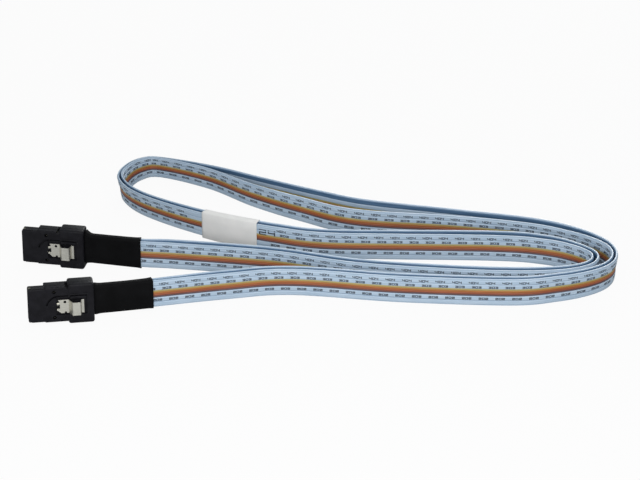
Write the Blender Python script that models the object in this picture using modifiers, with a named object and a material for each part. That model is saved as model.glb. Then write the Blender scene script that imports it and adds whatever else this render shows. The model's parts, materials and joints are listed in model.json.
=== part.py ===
"""Internal mini SAS cable: two ribbon layers run face to face between two latching plugs.

The ribbons stand on edge on the ground plane z = 0. X runs along the long side of the loop, both
plugs lie at its low end with their latches facing -Y, and +Z is up. Units are metres.
"""
import math

import bmesh
import bpy
from mathutils import Matrix, Vector

MM = 0.001

# Clearances
FIT_GAP = 0.3 * MM
SOLDER_GAP = 0.15 * MM

# Ribbon layers
RIBBON_WIDTH = 14.8 * MM
LAYER_THICKNESS = 1.6 * MM
PLUG_LAYER_GAP = 0.3 * MM
STATION_SPACING = 20.0 * MM
ROWS_ACROSS = 2

# Heat-shrink sleeves and the label
SLEEVE_WALL = 0.3 * MM
SLEEVE_SEAT = 1.6 * MM
SLEEVE_LENGTH = 32.0 * MM
LABEL_THICKNESS = 0.3 * MM
LABEL_LENGTH = 32.0 * MM
LABEL_START = 694.0 * MM

# Plug lengths, from the rear face to the nose
REAR_LENGTH = 13.2 * MM
MIDDLE_LENGTH = 12.0 * MM
NOSE_LENGTH = 8.3 * MM

# Walls and steps of the plug
GROMMET_WALL = 0.5 * MM
GROMMET_RIM = 0.8 * MM
GROMMET_BEHIND = 0.9 * MM
REAR_SIDE_WALL = 2.2 * MM
REAR_BACK_WALL = 1.35 * MM
POCKET_WALL = 0.4 * MM
POCKET_DEPTH = 1.45 * MM
POCKET_REAR_GAP = 1.3 * MM
MOUTH_DEPTH = 2.2 * MM
FRONT_STEP = 0.5 * MM
MIDDLE_SIDE_STEP = 1.3 * MM
NOSE_SIDE_STEP = 0.5 * MM
MIDDLE_BACK_STEP = 1.0 * MM
NOSE_BACK_STEP = 1.8 * MM
NOSE_WALL = 0.8 * MM
NOSE_SIDE_WALL = 1.0 * MM
NOSE_FLOOR = 0.8 * MM
REAR_ROUNDING = 0.6 * MM
NOSE_ROUNDING = 0.4 * MM

# Paddle card and the leads soldered to it
CARD_THICKNESS = 1.0 * MM
CARD_SIDE_MARGIN = 0.7 * MM
CARD_END = 0.4 * MM
CARD_REAR_GAP = 0.5 * MM
LEADS_PER_ROW = 12
LEAD_PITCH = 1.15 * MM
LEAD_WIDTH = 0.6 * MM
LEAD_THICKNESS = 0.3 * MM
LEAD_BEND = 2.4 * MM
LEAD_BAR = 1.0 * MM
LEAD_FOOT = 3.4 * MM

# Pins that join the halves of the housing
PIN_SPACING = 14.2 * MM
PIN_FROM_STEP = 7.0 * MM
PIN_HOLE_RADIUS = 0.95 * MM
PIN_RADIUS = 0.65 * MM
PIN_RECESS = 1.5 * MM
CARD_HOLE_RADIUS = 0.8 * MM

# Latch: a bent spring plate that is pressed at its raised tab
LATCH_LOWERED = 1.0 * MM
LATCH_WIDTH = 8.1 * MM
LATCH_SIDE_GAP = 0.7 * MM
LATCH_THICKNESS = 0.4 * MM
LATCH_SINK = 0.2 * MM
LATCH_END = 5.2 * MM
LATCH_STRIP = 1.4 * MM
LATCH_TAB = 4.9 * MM
LATCH_RAMP = 0.7 * MM
LATCH_PLATE = 6.1 * MM
LATCH_TAB_RISE = 3.5 * MM
LATCH_NOTCH_WIDTH = 2.2 * MM
LATCH_NOTCH_DEPTH = 1.6 * MM
HOOK_RISE = 0.9 * MM
HOOK_LENGTH = 1.2 * MM
HOOK_WIDTH = 1.3 * MM

# Route of the cable from plug b to plug a, chosen by hand. Columns: x and y of the middle line in
# mm, rise (0 on the ground, 1 level with the plugs), lean of the ribbons in degrees (positive leans
# to the left of travel), clear gap between the layers in mm, and how far layer 2 stands above
# layer 1 in mm.
ROUTE = [
    (-125.4, -20.2, 1.00, 0, 0.3, 0.0),
    (-115.6, -18.4, 1.00, 0, 0.3, 0.0),
    (-98.0, -13.6, 0.85, 0, 0.3, 0.0),
    (-48.0, 3.0, 0.24, 0, 0.6, 0.7),
    (-14.0, 9.2, 0.04, 0, 0.5, 0.7),
    (41.0, 1.2, 0.00, 0, 0.5, 0.7),
    (98.0, -2.8, 0.00, 0, 0.5, 0.7),
    (122.0, 1.6, 0.00, -2, 0.5, 0.7),
    (138.5, 8.6, 0.00, -5, 0.5, 0.7),
    (149.0, 18.2, 0.00, -7, 0.5, 0.7),
    (152.5, 31.0, 0.00, -5, 0.9, 0.7),
    (147.9, 44.0, 0.00, -2, 3.2, 0.7),
    (134.0, 57.2, 0.00, 0, 5.8, 0.7),
    (112.0, 68.3, 0.00, 0, 7.0, 0.7),
    (70.0, 78.9, 0.00, 0, 8.9, 0.7),
    (22.0, 89.3, 0.00, 1, 14.0, 0.7),
    (-6.0, 104.2, 0.00, 3, 12.6, 0.7),
    (-33.0, 122.4, 0.00, 8, 10.0, 0.7),
    (-60.0, 143.9, 0.00, 14, 3.8, 0.7),
    (-89.7, 159.0, 0.00, 18, 0.5, 0.7),
    (-101.6, 154.6, 0.00, 11, 0.5, 0.7),
    (-107.7, 141.0, 0.00, -2, 0.5, 0.7),
    (-106.9, 125.0, 0.08, -12, 0.5, 0.7),
    (-93.5, 104.2, 0.24, -14, 0.5, 0.7),
    (-60.0, 76.6, 0.556, -9, 0.9, 0.7),
    (-22.0, 58.7, 0.443, -3, 1.2, 0.7),
    (10.0, 54.0, 0.00, 0, 1.2, 0.7),
    (90.0, 52.0, 0.00, 0, 2.5, 0.7),
    (118.0, 47.5, 0.00, 0, 2.5, 0.5),
    (135.0, 38.5, 0.00, 0, 1.5, 0.2),
    (143.5, 27.0, 0.00, 0, 1.3, 0.0),
    (138.0, 15.0, 0.00, 0, 1.3, -0.3),
    (118.0, 8.7, 0.00, 0, 1.2, -0.6),
    (80.0, 9.2, 0.00, 0, 1.2, -0.7),
    (21.0, 17.6, 0.00, 0, 1.2, -0.7),
    (-24.0, 31.7, 0.04, 0, 1.2, -0.7),
    (-75.0, 38.8, 0.32, 0, 1.2, -0.7),
    (-95.0, 38.6, 0.65, 0, 0.5, -0.4),
    (-124.1, 43.0, 1.00, 0, 0.3, 0.0),
    (-133.9, 44.7, 1.00, 0, 0.3, 0.0),
]

# Heights across the width of the cable at the plugs, measured from its middle
GROMMET_HALF_HEIGHT = RIBBON_WIDTH / 2 + FIT_GAP + GROMMET_RIM
CAVITY_HALF_HEIGHT = GROMMET_HALF_HEIGHT + FIT_GAP
REAR_HALF_HEIGHT = CAVITY_HALF_HEIGHT + REAR_SIDE_WALL
MIDDLE_HALF_HEIGHT = REAR_HALF_HEIGHT - MIDDLE_SIDE_STEP
NOSE_HALF_HEIGHT = MIDDLE_HALF_HEIGHT - NOSE_SIDE_STEP
SLEEVE_HALF_HEIGHT = RIBBON_WIDTH / 2 + FIT_GAP + SLEEVE_WALL
CARD_TAIL_HALF_HEIGHT = NOSE_HALF_HEIGHT - CARD_SIDE_MARGIN
SEAT_RISE = REAR_HALF_HEIGHT - RIBBON_WIDTH / 2

# Depths through the plug, measured from the middle line of the cable; the latch side is negative
CABLE_HALF_DEPTH = LAYER_THICKNESS + PLUG_LAYER_GAP / 2
GROMMET_HALF_DEPTH = CABLE_HALF_DEPTH + FIT_GAP + GROMMET_WALL
CAVITY_HALF_DEPTH = GROMMET_HALF_DEPTH + FIT_GAP
SLEEVE_HALF_DEPTH = CABLE_HALF_DEPTH + FIT_GAP + SLEEVE_WALL
POCKET_FLOOR_Y = -CAVITY_HALF_DEPTH - POCKET_WALL
REAR_FRONT_Y = POCKET_FLOOR_Y - POCKET_DEPTH
REAR_BACK_Y = CAVITY_HALF_DEPTH + REAR_BACK_WALL
FRONT_Y = REAR_FRONT_Y + FRONT_STEP
MIDDLE_BACK_Y = REAR_BACK_Y - MIDDLE_BACK_STEP
NOSE_BACK_Y = MIDDLE_BACK_Y - NOSE_BACK_STEP
CARD_Y = (FRONT_Y + NOSE_BACK_Y) / 2
CARD_FRONT_Y = CARD_Y - CARD_THICKNESS / 2
CARD_BACK_Y = CARD_Y + CARD_THICKNESS / 2

# Stations along the plug, measured from its rear face
MIDDLE_X = -REAR_LENGTH
NOSE_X = MIDDLE_X - MIDDLE_LENGTH
TIP_X = NOSE_X - NOSE_LENGTH
CABLE_INSET = REAR_LENGTH - LEAD_BEND - FIT_GAP
GROMMET_LENGTH = CABLE_INSET - MOUTH_DEPTH - FIT_GAP - GROMMET_BEHIND
LEADS_X = -CABLE_INSET - FIT_GAP
LEAD_BAR_X = LEADS_X - LEAD_BEND
LEAD_FOOT_X = LEAD_BAR_X - LEAD_BAR - LEAD_FOOT
CARD_REAR_X = LEAD_BAR_X - LEAD_BAR - CARD_REAR_GAP
PIN_X = MIDDLE_X - PIN_FROM_STEP
LATCH_TAB_X = -LATCH_END - LATCH_STRIP
LATCH_PLATE_X = LATCH_TAB_X - LATCH_TAB - 2 * LATCH_RAMP
LATCH_FRONT_X = LATCH_PLATE_X - LATCH_PLATE


# Scene and materials

def clear_scene():
    for item in list(bpy.data.objects):
        bpy.data.objects.remove(item, do_unlink=True)


def new_collection(name):
    collection = bpy.data.collections.new(name)
    bpy.context.scene.collection.children.link(collection)
    return collection


def material(name, colour, roughness, metallic=0.0):
    found = bpy.data.materials.get(name)
    if found:
        return found
    made = bpy.data.materials.new(name)
    made.use_nodes = True
    shader = made.node_tree.nodes["Principled BSDF"]
    shader.inputs["Base Color"].default_value = (*colour, 1.0)
    shader.inputs["Roughness"].default_value = roughness
    shader.inputs["Metallic"].default_value = metallic
    return made


def add_object(name, mesh, collection, parent=None):
    item = bpy.data.objects.new(name, mesh)
    collection.objects.link(item)
    item.parent = parent
    return item


# Modelling tools

def box(name, low, high, collection, parent=None):
    mesh = bpy.data.meshes.new(name)
    shape = bmesh.new()
    bmesh.ops.create_cube(shape, size=1.0)
    low = Vector(low)
    high = Vector(high)
    size = high - low
    bmesh.ops.scale(shape, vec=size, verts=shape.verts)
    bmesh.ops.translate(shape, vec=low + size / 2, verts=shape.verts)
    shape.to_mesh(mesh)
    shape.free()
    return add_object(name, mesh, collection, parent)


def cylinder_y(name, radius, low_y, high_y, x, z, collection, parent):
    mesh = bpy.data.meshes.new(name)
    shape = bmesh.new()
    bmesh.ops.create_cone(shape, cap_ends=True, segments=24, radius1=radius, radius2=radius,
                          depth=high_y - low_y)
    bmesh.ops.rotate(shape, matrix=Matrix.Rotation(math.pi / 2, 3, "X"), verts=shape.verts)
    bmesh.ops.translate(shape, vec=(x, (low_y + high_y) / 2, z), verts=shape.verts)
    shape.to_mesh(mesh)
    shape.free()
    return add_object(name, mesh, collection, parent)


def sheet(name, rows, thickness, collection, closed=False, parent=None):
    """An open surface through rows of points, given a thickness; closed joins each row's ends."""
    count = len(rows[0])
    points = [point for row in rows for point in row]
    last = count if closed else count - 1
    faces = []
    for row in range(len(rows) - 1):
        for column in range(last):
            near = row * count + column
            side = row * count + (column + 1) % count
            faces.append((near, side, side + count, near + count))
    mesh = bpy.data.meshes.new(name)
    mesh.from_pydata(points, [], faces)
    item = add_object(name, mesh, collection, parent)
    solid = item.modifiers.new("Thickness", "SOLIDIFY")
    solid.thickness = thickness
    solid.offset = 0.0
    return item


def helper(item):
    item.hide_render = True
    item.display_type = "WIRE"
    return item


def boolean(item, tool, operation):
    step = item.modifiers.new(operation.title(), "BOOLEAN")
    step.operation = operation
    step.object = helper(tool)
    step.solver = "EXACT"


def bevel(item, width):
    rounding = item.modifiers.new("Rounding", "BEVEL")
    rounding.width = width
    rounding.segments = 2
    return item


# The cable's path

def catmull_rom(before, start, end, after, share):
    """One value on the smooth curve between start and end."""
    return 0.5 * (
        2 * start
        + (end - before) * share
        + (2 * before - 5 * start + 4 * end - after) * share ** 2
        + (3 * start - before - 3 * end + after) * share ** 3
    )


def station(values):
    x, y, rise, lean, gap, step = values
    lean = math.radians(lean)
    lower_edge = LAYER_THICKNESS / 2 * abs(math.sin(lean))
    return {
        "middle": Vector((x * MM, y * MM)),
        "rise": max(rise, 0.0) * SEAT_RISE + lower_edge,
        "lean": lean,
        "gap": gap * MM,
        "step": step * MM,
    }


def cable_stations():
    first = [2 * a - b for a, b in zip(ROUTE[0], ROUTE[1])]
    last = [2 * a - b for a, b in zip(ROUTE[-1], ROUTE[-2])]
    points = [first, *ROUTE, last]
    stations = []
    for index in range(1, len(points) - 2):
        span = math.dist(points[index][:2], points[index + 1][:2]) * MM
        samples = max(2, math.ceil(span / STATION_SPACING))
        for sample in range(samples):
            share = sample / samples
            columns = zip(*points[index - 1:index + 3])
            stations.append(station([catmull_rom(*column, share) for column in columns]))
    stations.append(station(ROUTE[-1]))
    distance = 0.0
    for index, place in enumerate(stations):
        ahead = stations[min(index + 1, len(stations) - 1)]["middle"]
        behind = stations[max(index - 1, 0)]["middle"]
        if index:
            distance += (place["middle"] - behind).length
        heading = (ahead - behind).normalized()
        place["normal"] = Vector((-heading.y, heading.x))
        place["distance"] = distance
    return stations


def blend(first, second, share):
    mixed = {}
    for key, value in first.items():
        mixed[key] = value + (second[key] - value) * share
    mixed["normal"] = mixed["normal"].normalized()
    return mixed


def stretch(stations, start, end):
    """The stations between two distances along the cable, with one at each end."""
    def at(distance):
        for first, second in zip(stations, stations[1:]):
            if distance <= second["distance"]:
                span = second["distance"] - first["distance"]
                return blend(first, second, (distance - first["distance"]) / span)
        return stations[-1]

    inner = [place for place in stations if start < place["distance"] < end]
    return [at(start), *inner, at(end)]


def across(place, side, height):
    """A point at a distance to the left of the middle line and a height up the leaning ribbon."""
    left = side + height * math.sin(place["lean"])
    spot = place["middle"] + place["normal"] * left
    return Vector((spot.x, spot.y, place["rise"] + height * math.cos(place["lean"])))


def ribbon_layer(name, stations, side, collection):
    rows = []
    for place in stations:
        offset = side * (LAYER_THICKNESS + place["gap"]) / 2
        base = max(side * place["step"], 0.0)
        heights = [base + RIBBON_WIDTH * row / ROWS_ACROSS for row in range(ROWS_ACROSS + 1)]
        rows.append([across(place, offset, height) for height in heights])
    return sheet(name, rows, LAYER_THICKNESS, collection)


def sleeve(name, places, collection):
    rows = []
    for place in places:
        side = LAYER_THICKNESS + place["gap"] / 2 + FIT_GAP + SLEEVE_WALL / 2
        low = -FIT_GAP - SLEEVE_WALL / 2
        high = RIBBON_WIDTH + abs(place["step"]) - low
        corner = side / 6
        outline = [
            (-side, low + corner), (corner - side, low), (side - corner, low), (side, low + corner),
            (side, high - corner), (side - corner, high), (corner - side, high),
            (-side, high - corner),
        ]
        rows.append([across(place, *point) for point in outline])
    return sheet(name, rows, SLEEVE_WALL, collection, closed=True)


def label(name, places, collection):
    rows = []
    for place in places:
        side = LAYER_THICKNESS + place["gap"] / 2 + FIT_GAP + LABEL_THICKNESS / 2
        low = -place["rise"] / math.cos(place["lean"]) + LABEL_THICKNESS / 2
        high = RIBBON_WIDTH + abs(place["step"]) + FIT_GAP + LABEL_THICKNESS / 2
        corner = side / 6
        outline = [
            (-side, low), (-side, high / 2), (-side, high - corner), (corner - side, high),
            (side - corner, high), (side, high - corner), (side, high / 2), (side, low),
        ]
        rows.append([across(place, *point) for point in outline])
    return sheet(name, rows, LABEL_THICKNESS, collection)


# The pieces of a plug, in the plug's own frame: the origin is the middle of its rear face, -X runs
# to the nose, -Y is the latch side and Z runs across its width.

def mirrored_box(name, x_low, x_high, y_low, y_high, half_height, collection, plug):
    low = (x_low, y_low, -half_height)
    high = (x_high, y_high, half_height)
    return box(name, low, high, collection, plug)


def plug_blocks(mark, helpers, plug):
    middle = mirrored_box(f"middle_block_{mark}", NOSE_X, MIDDLE_X + REAR_ROUNDING * 2,
                          FRONT_Y, MIDDLE_BACK_Y, MIDDLE_HALF_HEIGHT, helpers, plug)
    nose = mirrored_box(f"nose_block_{mark}", TIP_X, NOSE_X + NOSE_ROUNDING * 2,
                        FRONT_Y, NOSE_BACK_Y, NOSE_HALF_HEIGHT, helpers, plug)
    return bevel(middle, NOSE_ROUNDING), bevel(nose, NOSE_ROUNDING)


def plug_hollows(mark, helpers, plug):
    """Everything that is empty inside the housing, as cutting blocks."""
    past = REAR_LENGTH
    lead_half_height = LEADS_PER_ROW * LEAD_PITCH / 2 + FIT_GAP
    lead_front = CARD_FRONT_Y - SOLDER_GAP - LEAD_THICKNESS - FIT_GAP / 2
    lead_back = CARD_BACK_Y + SOLDER_GAP + LEAD_THICKNESS + FIT_GAP
    card_low = CARD_FRONT_Y - FIT_GAP
    card_high = CARD_BACK_Y + FIT_GAP
    nose_half = NOSE_HALF_HEIGHT - NOSE_SIDE_WALL
    return [
        mirrored_box(f"cavity_{mark}", MIDDLE_X + FIT_GAP, -MOUTH_DEPTH, -CAVITY_HALF_DEPTH,
                     CAVITY_HALF_DEPTH, CAVITY_HALF_HEIGHT, helpers, plug),
        mirrored_box(f"mouth_{mark}", -MOUTH_DEPTH - FIT_GAP, past, -SLEEVE_HALF_DEPTH - FIT_GAP,
                     SLEEVE_HALF_DEPTH + FIT_GAP, SLEEVE_HALF_HEIGHT + FIT_GAP, helpers, plug),
        mirrored_box(f"lead_hollow_{mark}", LEAD_FOOT_X - FIT_GAP, MIDDLE_X + 2 * FIT_GAP,
                     lead_front, lead_back, lead_half_height, helpers, plug),
        mirrored_box(f"card_hollow_{mark}", NOSE_X, CARD_REAR_X + FIT_GAP, card_low, card_high,
                     CARD_TAIL_HALF_HEIGHT + FIT_GAP, helpers, plug),
        mirrored_box(f"card_slot_{mark}", TIP_X - past, NOSE_X + FIT_GAP, card_low, card_high,
                     REAR_HALF_HEIGHT, helpers, plug),
        mirrored_box(f"mating_hollow_{mark}", TIP_X - past, NOSE_X - NOSE_FLOOR,
                     FRONT_Y + NOSE_WALL, NOSE_BACK_Y - NOSE_WALL, nose_half, helpers, plug),
    ]


def pin_places():
    return [-PIN_SPACING / 2, PIN_SPACING / 2]


def housing_half(name, low_y, high_y, mark, shared, collections, plug):
    parts, helpers = collections
    blocks, hollows = shared
    half = mirrored_box(name, MIDDLE_X, 0.0, REAR_FRONT_Y, REAR_BACK_Y, REAR_HALF_HEIGHT, parts, plug)
    bevel(half, REAR_ROUNDING)
    for block in blocks:
        boolean(half, block, "UNION")
    keep = mirrored_box(f"keep_{name}", 2 * TIP_X, -TIP_X, low_y, high_y, 2 * REAR_HALF_HEIGHT,
                        helpers, plug)
    boolean(half, keep, "INTERSECT")
    for hollow in hollows:
        boolean(half, hollow, "DIFFERENCE")
    half.data.materials.append(material(f"black_nylon_{name}", (0.015, 0.015, 0.018), 0.45))
    return half


def housings(mark, collections, plug):
    parts, helpers = collections
    shared = (plug_blocks(mark, helpers, plug), plug_hollows(mark, helpers, plug))
    seam = CARD_Y
    front = housing_half(f"housing_{mark}", 2 * REAR_FRONT_Y, seam - FIT_GAP / 2, mark, shared,
                         collections, plug)
    back = housing_half(f"back_cover_{mark}", seam + FIT_GAP / 2, 2 * REAR_BACK_Y, mark, shared,
                        collections, plug)
    pocket_half = LATCH_WIDTH / 2 + LATCH_SIDE_GAP
    pocket = box(f"latch_pocket_{mark}",
                 (LATCH_FRONT_X - FIT_GAP, 2 * REAR_FRONT_Y, -LATCH_LOWERED - pocket_half),
                 (-LATCH_END + POCKET_REAR_GAP, POCKET_FLOOR_Y, -LATCH_LOWERED + pocket_half),
                 helpers, plug)
    boolean(front, pocket, "DIFFERENCE")
    seat_top = REAR_FRONT_Y + LATCH_SINK + LATCH_THICKNESS + FIT_GAP
    seat = box(f"latch_seat_{mark}",
               (LATCH_TAB_X + LATCH_STRIP / 2, seat_top, -LATCH_LOWERED - pocket_half - FIT_GAP),
               (-LATCH_END + POCKET_REAR_GAP + FIT_GAP, POCKET_FLOOR_Y + POCKET_WALL / 2,
                -LATCH_LOWERED + pocket_half + FIT_GAP),
               helpers, plug)
    boolean(front, seat, "UNION")
    for index, z in enumerate(pin_places()):
        hole = cylinder_y(f"pin_hole_{mark}_{index}", PIN_HOLE_RADIUS, 2 * REAR_FRONT_Y, seam,
                          PIN_X, z, helpers, plug)
        boolean(front, hole, "DIFFERENCE")
        pin = cylinder_y(f"pin_{mark}_{index}", PIN_RADIUS, FRONT_Y + PIN_RECESS,
                         (CARD_BACK_Y + MIDDLE_BACK_Y) / 2, PIN_X, z, helpers, plug)
        boolean(back, pin, "UNION")


def paddle_card(mark, collections, plug):
    parts, helpers = collections
    card = mirrored_box(f"paddle_card_{mark}", TIP_X + CARD_END, NOSE_X, CARD_FRONT_Y, CARD_BACK_Y,
                        NOSE_HALF_HEIGHT, parts, plug)
    tail = mirrored_box(f"card_tail_{mark}", NOSE_X - FIT_GAP, CARD_REAR_X, CARD_FRONT_Y,
                        CARD_BACK_Y, CARD_TAIL_HALF_HEIGHT, helpers, plug)
    boolean(card, tail, "UNION")
    for index, z in enumerate(pin_places()):
        hole = cylinder_y(f"card_hole_{mark}_{index}", CARD_HOLE_RADIUS, 2 * REAR_FRONT_Y,
                          REAR_BACK_Y, PIN_X, z, helpers, plug)
        boolean(card, hole, "DIFFERENCE")
    card.data.materials.append(material(f"circuit_board_{mark}", (0.30, 0.32, 0.12), 0.4))


def lead_row(name, side, mark, collections, plug):
    """A bent comb of bare leads from one ribbon layer to one face of the card."""
    parts, helpers = collections
    cable_y = side * (LAYER_THICKNESS + PLUG_LAYER_GAP) / 2
    foot_y = CARD_Y + side * (CARD_THICKNESS / 2 + SOLDER_GAP + LEAD_THICKNESS / 2)
    profile = [
        (LEADS_X, cable_y), (LEADS_X - LEAD_BEND / 4, cable_y),
        (LEADS_X - LEAD_BEND * 0.8, foot_y), (LEAD_FOOT_X, foot_y),
    ]
    half = (LEADS_PER_ROW - 1) * LEAD_PITCH / 2 + LEAD_WIDTH / 2
    rows = [[Vector((x, y, z)) for z in (-half, half)] for x, y in profile]
    row = sheet(name, rows, LEAD_THICKNESS, parts, parent=plug)
    cuts = [(LEAD_BAR_X, 0.0), (2 * LEAD_FOOT_X, LEAD_BAR_X - LEAD_BAR)]
    for index, (x_low, x_high) in enumerate(cuts):
        cutter = box(f"lead_gaps_{name}_{index}",
                     (x_low, 2 * REAR_FRONT_Y, -half + LEAD_WIDTH),
                     (x_high, 2 * REAR_BACK_Y, -half + LEAD_PITCH), helpers, plug)
        copies = cutter.modifiers.new("Copies", "ARRAY")
        copies.count = LEADS_PER_ROW - 1
        copies.use_relative_offset = False
        copies.use_constant_offset = True
        copies.constant_offset_displace = (0.0, 0.0, LEAD_PITCH)
        copies.merge_threshold = 0.00001
        boolean(row, cutter, "DIFFERENCE")
    row.data.materials.append(material(f"tinned_copper_{name}", (0.75, 0.72, 0.68), 0.3, 1.0))


def grommet(mark, collections, plug):
    parts, helpers = collections
    rear = -MOUTH_DEPTH - FIT_GAP
    block = mirrored_box(f"grommet_{mark}", rear - GROMMET_LENGTH, rear, -GROMMET_HALF_DEPTH,
                         GROMMET_HALF_DEPTH, GROMMET_HALF_HEIGHT, parts, plug)
    slot = mirrored_box(f"grommet_slot_{mark}", rear - 2 * GROMMET_LENGTH, REAR_LENGTH,
                        -CABLE_HALF_DEPTH - FIT_GAP, CABLE_HALF_DEPTH + FIT_GAP,
                        RIBBON_WIDTH / 2 + FIT_GAP, helpers, plug)
    boolean(block, slot, "DIFFERENCE")
    block.data.materials.append(material(f"grommet_rubber_{mark}", (0.03, 0.03, 0.03), 0.8))


def latch(mark, collections, plug):
    """The spring plate; its origin is on the line it turns about, at its rear end."""
    parts, helpers = collections
    plate_y = REAR_FRONT_Y + LATCH_SINK + LATCH_THICKNESS / 2
    pivot = bpy.data.objects.new(f"latch_pivot_{mark}", None)
    parts.objects.link(pivot)
    pivot.parent = plug
    pivot.location = (-LATCH_END, plate_y, -LATCH_LOWERED)
    tab_y = -LATCH_TAB_RISE
    back = -LATCH_STRIP
    front = back - LATCH_TAB - 2 * LATCH_RAMP
    tip = front - LATCH_PLATE
    profile = [
        (0.0, 0.0), (back, 0.0), (back - LATCH_RAMP, tab_y), (front + LATCH_RAMP, tab_y),
        (front, 0.0), (tip, 0.0),
    ]
    half = LATCH_WIDTH / 2
    rows = [[Vector((x, y, z)) for z in (-half, half)] for x, y in profile]
    plate = sheet(f"latch_{mark}", rows, LATCH_THICKNESS, parts, parent=pivot)
    plate.modifiers["Thickness"].use_even_offset = True
    for index, side in enumerate((-1, 1)):
        inner = side * (half - HOOK_WIDTH)
        low, high = sorted((inner, side * half))
        hook = box(f"hook_{mark}_{index}", (tip, -HOOK_RISE, low), (tip + HOOK_LENGTH, 0.0, high),
                   helpers, pivot)
        boolean(plate, hook, "UNION")
    notch = box(f"latch_notch_{mark}",
                (2 * tip, -LATCH_TAB_RISE, -LATCH_NOTCH_WIDTH / 2),
                (tip + LATCH_NOTCH_DEPTH, LATCH_TAB_RISE, LATCH_NOTCH_WIDTH / 2), helpers, pivot)
    boolean(plate, notch, "DIFFERENCE")
    plate.data.materials.append(material(f"spring_steel_{mark}", (0.62, 0.60, 0.55), 0.3, 1.0))


def plug_frame(name, end, collection):
    """The plug's frame from the cable's last stretch: the cable ends CABLE_INSET inside it."""
    outward = end["outward"]
    frame = bpy.data.objects.new(name, None)
    collection.objects.link(frame)
    spot = end["middle"] + outward * CABLE_INSET
    frame.location = (spot.x, spot.y, end["rise"] + RIBBON_WIDTH / 2)
    frame.rotation_euler = (0.0, 0.0, math.atan2(outward.y, outward.x))
    return frame


def plug(mark, end, collections):
    frame = plug_frame(f"plug_{mark}", end, collections[0])
    housings(mark, collections, frame)
    paddle_card(mark, collections, frame)
    lead_row(f"leads_front_{mark}", -1, mark, collections, frame)
    lead_row(f"leads_back_{mark}", 1, mark, collections, frame)
    grommet(mark, collections, frame)
    latch(mark, collections, frame)


# The whole cable

def cable_ends(stations):
    first, second = stations[0], stations[1]
    last, before = stations[-1], stations[-2]
    start = dict(first, outward=(second["middle"] - first["middle"]).normalized())
    end = dict(last, outward=(before["middle"] - last["middle"]).normalized())
    return start, end


def centre_on_origin(collection):
    """Moves the whole model so that the middle of its box's base is the origin."""
    bpy.context.view_layer.update()
    depsgraph = bpy.context.evaluated_depsgraph_get()
    corners = []
    for item in collection.objects:
        if item.type == "MESH":
            shape = item.evaluated_get(depsgraph)
            corners += [shape.matrix_world @ vertex.co for vertex in shape.data.vertices]
    low = Vector([min(corner[axis] for corner in corners) for axis in range(3)])
    high = Vector([max(corner[axis] for corner in corners) for axis in range(3)])
    shift = Vector((-(low.x + high.x) / 2, -(low.y + high.y) / 2, -low.z))
    for item in bpy.data.objects:
        if item.parent is None:
            item.location += shift
    bpy.context.view_layer.update()


def main():
    clear_scene()
    parts = new_collection("mini_sas_cable")
    helpers = new_collection("cutters")
    collections = (parts, helpers)
    stations = cable_stations()
    length = stations[-1]["distance"]

    skin = ((0.45, 0.58, 0.75), 0.35)
    for name, side in (("ribbon_layer_1", -1), ("ribbon_layer_2", 1)):
        layer = ribbon_layer(name, stations, side, parts)
        layer.data.materials.append(material(f"blue_insulation_{name}", *skin))

    near = CABLE_INSET - SLEEVE_SEAT
    far = near + SLEEVE_LENGTH
    for mark, start, stop in (("b", near, far), ("a", length - far, length - near)):
        cover = sleeve(f"sleeve_{mark}", stretch(stations, start, stop), parts)
        cover.data.materials.append(material(f"heat_shrink_{mark}", (0.01, 0.01, 0.012), 0.7))

    places = stretch(stations, LABEL_START, LABEL_START + LABEL_LENGTH)
    tag = label("cable_label", places, parts)
    tag.data.materials.append(material("label_paper", (0.85, 0.84, 0.82), 0.6))

    start, end = cable_ends(stations)
    plug("b", start, collections)
    plug("a", end, collections)
    centre_on_origin(parts)


main()
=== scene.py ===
"""Looks of an internal mini SAS cable: two printed ribbon layers between two latching plugs."""
import json
import math

import bmesh
import bpy
from mathutils import Matrix, Vector, noise


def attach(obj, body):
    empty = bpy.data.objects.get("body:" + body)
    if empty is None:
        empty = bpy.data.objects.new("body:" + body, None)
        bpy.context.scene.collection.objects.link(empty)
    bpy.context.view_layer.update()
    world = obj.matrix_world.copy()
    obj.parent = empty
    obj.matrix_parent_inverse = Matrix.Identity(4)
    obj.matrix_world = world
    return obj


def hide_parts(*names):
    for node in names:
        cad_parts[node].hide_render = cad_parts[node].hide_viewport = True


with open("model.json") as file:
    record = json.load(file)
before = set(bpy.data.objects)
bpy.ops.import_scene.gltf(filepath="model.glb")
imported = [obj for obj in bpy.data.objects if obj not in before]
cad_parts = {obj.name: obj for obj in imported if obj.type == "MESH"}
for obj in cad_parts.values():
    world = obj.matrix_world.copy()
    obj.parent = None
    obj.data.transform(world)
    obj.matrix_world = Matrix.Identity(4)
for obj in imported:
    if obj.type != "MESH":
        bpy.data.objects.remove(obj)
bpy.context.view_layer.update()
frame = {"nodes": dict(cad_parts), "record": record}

MM = 0.001

# Photograph: the camera's elevation and place, for an image 640 pixels wide
IMAGE_WIDTH = 640
SENSOR_WIDTH = 36.0
ELEVATION = math.radians(25.0)
FOCAL_PIXELS = 2912.2
CAMERA_PLACE = (0.0, -1347.0 * MM, 663.4 * MM)

# Ribbon layers, as in the solids
RIBBON_WIDTH = 14.8 * MM
LAYER_THICKNESS = 1.6 * MM
FIT_GAP = 0.3 * MM
SEAT_RISE = 3.6 * MM
CABLE_INSET = 10.5 * MM
SAMPLE_SPACING = 2.4 * MM

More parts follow.
